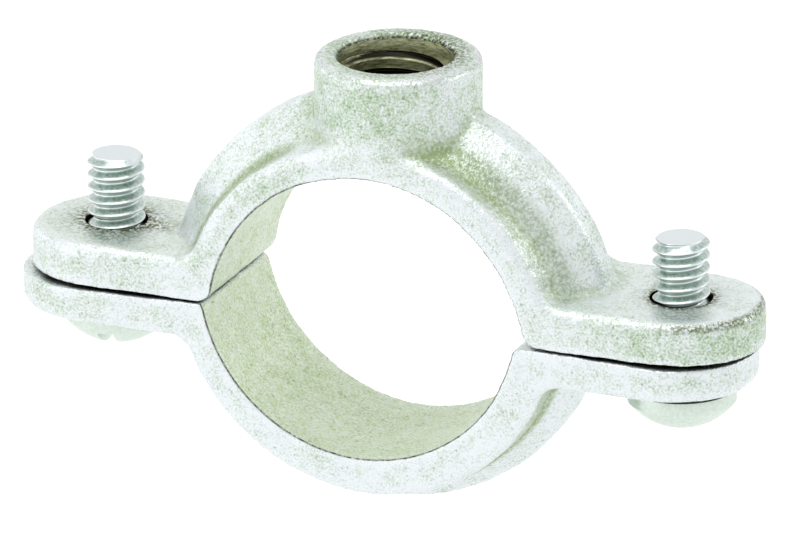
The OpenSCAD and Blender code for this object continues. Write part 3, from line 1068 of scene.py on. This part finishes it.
class HANGER_OT_studio(bpy.types.Operator):
    """Sets the floor, the lamps, the world and the camera."""

    bl_idname = "hanger.studio"
    bl_label = "Studio"

    def execute(self, context):
        studio = context.scene.hanger_studio
        self.floor(CAD_BOX[0].z - studio.floor_drop)
        self.world(context.scene)
        # Each lamp's place and size in metres, and its power in watts
        for name, place, size, power in (
            ("front_left_softbox", (-0.38, -0.36, 0.14), 0.34, 0.27),
            ("top_softbox", (-0.04, -0.12, 0.48), 0.42, 1.06),
            ("right_rim_softbox", (0.44, 0.28, 0.27), 0.16, 0.34),
            ("left_rim_softbox", (-0.50, 0.08, 0.12), 0.20, 0.10),
        ):
            self.softbox(name, Vector(place), size, power)
        self.camera(context.scene, studio)
        return {"FINISHED"}

    def floor(self, level):
        """Pale matt floor that looks white to the camera and still takes the shadow."""
        floor = primitive(
            bpy.ops.mesh.primitive_grid_add,
            x_subdivisions=8,
            y_subdivisions=8,
            size=12,
            location=(0, 0, level),
        )
        floor.name = "floor"
        made, tree, shader = build_material("white_paper")
        path = add(tree, "ShaderNodeLightPath")
        inputs = {0: path.outputs["Is Camera Ray"], 1: path.outputs["Is Glossy Ray"]}
        seen = add(tree, "ShaderNodeMath", inputs, operation="MAXIMUM")
        inputs = {0: seen.outputs["Value"], 1: path.outputs["Is Transmission Ray"]}
        shown = add(tree, "ShaderNodeMath", inputs, operation="MAXIMUM")
        own_light = 0.5
        glow = add(tree, "ShaderNodeMath", {0: shown.outputs["Value"], 1: own_light}, operation="MULTIPLY")
        looks = {"Base Color": opaque(srgb("#E8E8E8")), "Roughness": 0.9, "Emission Color": (1, 1, 1, 1)}
        feed(tree, shader, looks | {"Emission Strength": glow.outputs["Value"]})
        floor.data.materials.append(made)

    def world(self, scene):
        """White to the camera and in the metal, and a plain soft light on everything."""
        world = bpy.data.worlds.new("studio")
        scene.world = world
        world.use_nodes = True
        tree = world.node_tree
        tree.nodes.clear()
        path = add(tree, "ShaderNodeLightPath")
        # The tent is white all round, and dimmer in its roof, where only the metal shows it
        direction = add(tree, "ShaderNodeTexCoord").outputs["Generated"]
        up = add(tree, "ShaderNodeSeparateXYZ", {"Vector": direction})
        inputs = {"Value": up.outputs["Z"], "From Min": 0.35, "From Max": 0.95, "To Min": 1.0, "To Max": 0.8}
        roof = add(tree, "ShaderNodeMapRange", inputs)
        inputs = {0: path.outputs["Is Glossy Ray"], 1: roof.outputs["Result"]}
        mirrored = add(tree, "ShaderNodeMath", inputs, operation="MULTIPLY")
        inputs = {0: path.outputs["Is Camera Ray"], 1: path.outputs["Is Transmission Ray"]}
        plain = add(tree, "ShaderNodeMath", inputs, operation="MAXIMUM")
        inputs = {0: mirrored.outputs["Value"], 1: plain.outputs["Value"]}
        shown = add(tree, "ShaderNodeMath", inputs, operation="MAXIMUM")
        soft_light = 0.58
        inputs = {0: shown.outputs["Value"], 1: soft_light}
        strength = add(tree, "ShaderNodeMath", inputs, operation="MAXIMUM")
        inputs = {"Color": (1, 1, 1, 1), "Strength": strength.outputs["Value"]}
        light = add(tree, "ShaderNodeBackground", inputs)
        add(tree, "ShaderNodeOutputWorld", {"Surface": light.outputs["Background"]})

    def softbox(self, name, place, size, power):
        """Square soft lamp that faces the hanger."""
        lamp = bpy.data.lights.new(name, "AREA")
        lamp.size = size
        lamp.energy = power
        obj = bpy.data.objects.new(name, lamp)
        obj.location = place
        obj.rotation_mode = "QUATERNION"
        obj.rotation_quaternion = (-place).to_track_quat("-Z", "Y")
        bpy.context.scene.collection.objects.link(obj)

    def camera(self, scene, studio):
        """Long lens camera at the photograph's angle."""
        turn, rise = studio.azimuth, studio.elevation
        back = Vector((math.sin(turn) * math.cos(rise), -math.cos(turn) * math.cos(rise), math.sin(rise)))
        level = Vector((math.cos(turn), math.sin(turn), 0))
        above = back.cross(level)
        right = level * math.cos(studio.roll) + above * math.sin(studio.roll)
        up = above * math.cos(studio.roll) - level * math.sin(studio.roll)
        lens = bpy.data.cameras.new("camera")
        lens.sensor_width = 36
        lens.lens = lens.sensor_width * studio.distance / studio.frame_w
        lens.clip_start = 0.1
        lens.clip_end = 50
        camera = bpy.data.objects.new("camera", lens)
        scene.collection.objects.link(camera)
        place = right * studio.target_right + up * studio.target_up + back * studio.distance
        turned = Matrix((right, up, back)).transposed().to_4x4()
        camera.matrix_world = Matrix.Translation(place) @ turned
        scene.camera = camera
        scene.view_settings.view_transform = "Standard"


class HANGER_PT_panel(bpy.types.Panel):
    """Lists the operators of the hanger."""

    bl_label = "Pipe hanger"
    bl_idname = "HANGER_PT_panel"
    bl_space_type = "VIEW_3D"
    bl_region_type = "UI"
    bl_category = "Hanger"

    def draw(self, context):
        for step_class in STEPS:
            self.layout.operator(step_class.bl_idname)
        for group in GROUPS:
            box = self.layout.box()
            settings = getattr(context.scene, group)
            for name in settings.bl_rna.properties.keys():
                if name not in ("rna_type", "name"):
                    box.prop(settings, name)


STEPS = (HANGER_OT_upper_half, HANGER_OT_lower_half, HANGER_OT_screws, HANGER_OT_studio)
GROUPS = {
    "hanger_casting": HangerCastingSizes,
    "hanger_rod_thread": HangerRodThreadSizes,
    "hanger_screws": HangerScrewSizes,
    "hanger_colours": HangerColours,
    "hanger_studio": HangerStudio,
}


def register():
    for group in GROUPS.values():
        bpy.utils.register_class(group)
    for step_class in STEPS:
        bpy.utils.register_class(step_class)
    bpy.utils.register_class(HANGER_PT_panel)
    for name, group in GROUPS.items():
        setattr(bpy.types.Scene, name, bpy.props.PointerProperty(type=group))


def unregister():
    for name in GROUPS:
        delattr(bpy.types.Scene, name)
    bpy.utils.unregister_class(HANGER_PT_panel)
    for step_class in reversed(STEPS):
        bpy.utils.unregister_class(step_class)
    for group in GROUPS.values():
        bpy.utils.unregister_class(group)


def main():
    """Builds everything."""
    register()
    bpy.ops.hanger.upper_half()
    bpy.ops.hanger.lower_half()
    bpy.ops.hanger.screws()
    bpy.ops.hanger.studio()


if __name__ == "__main__":
    main()
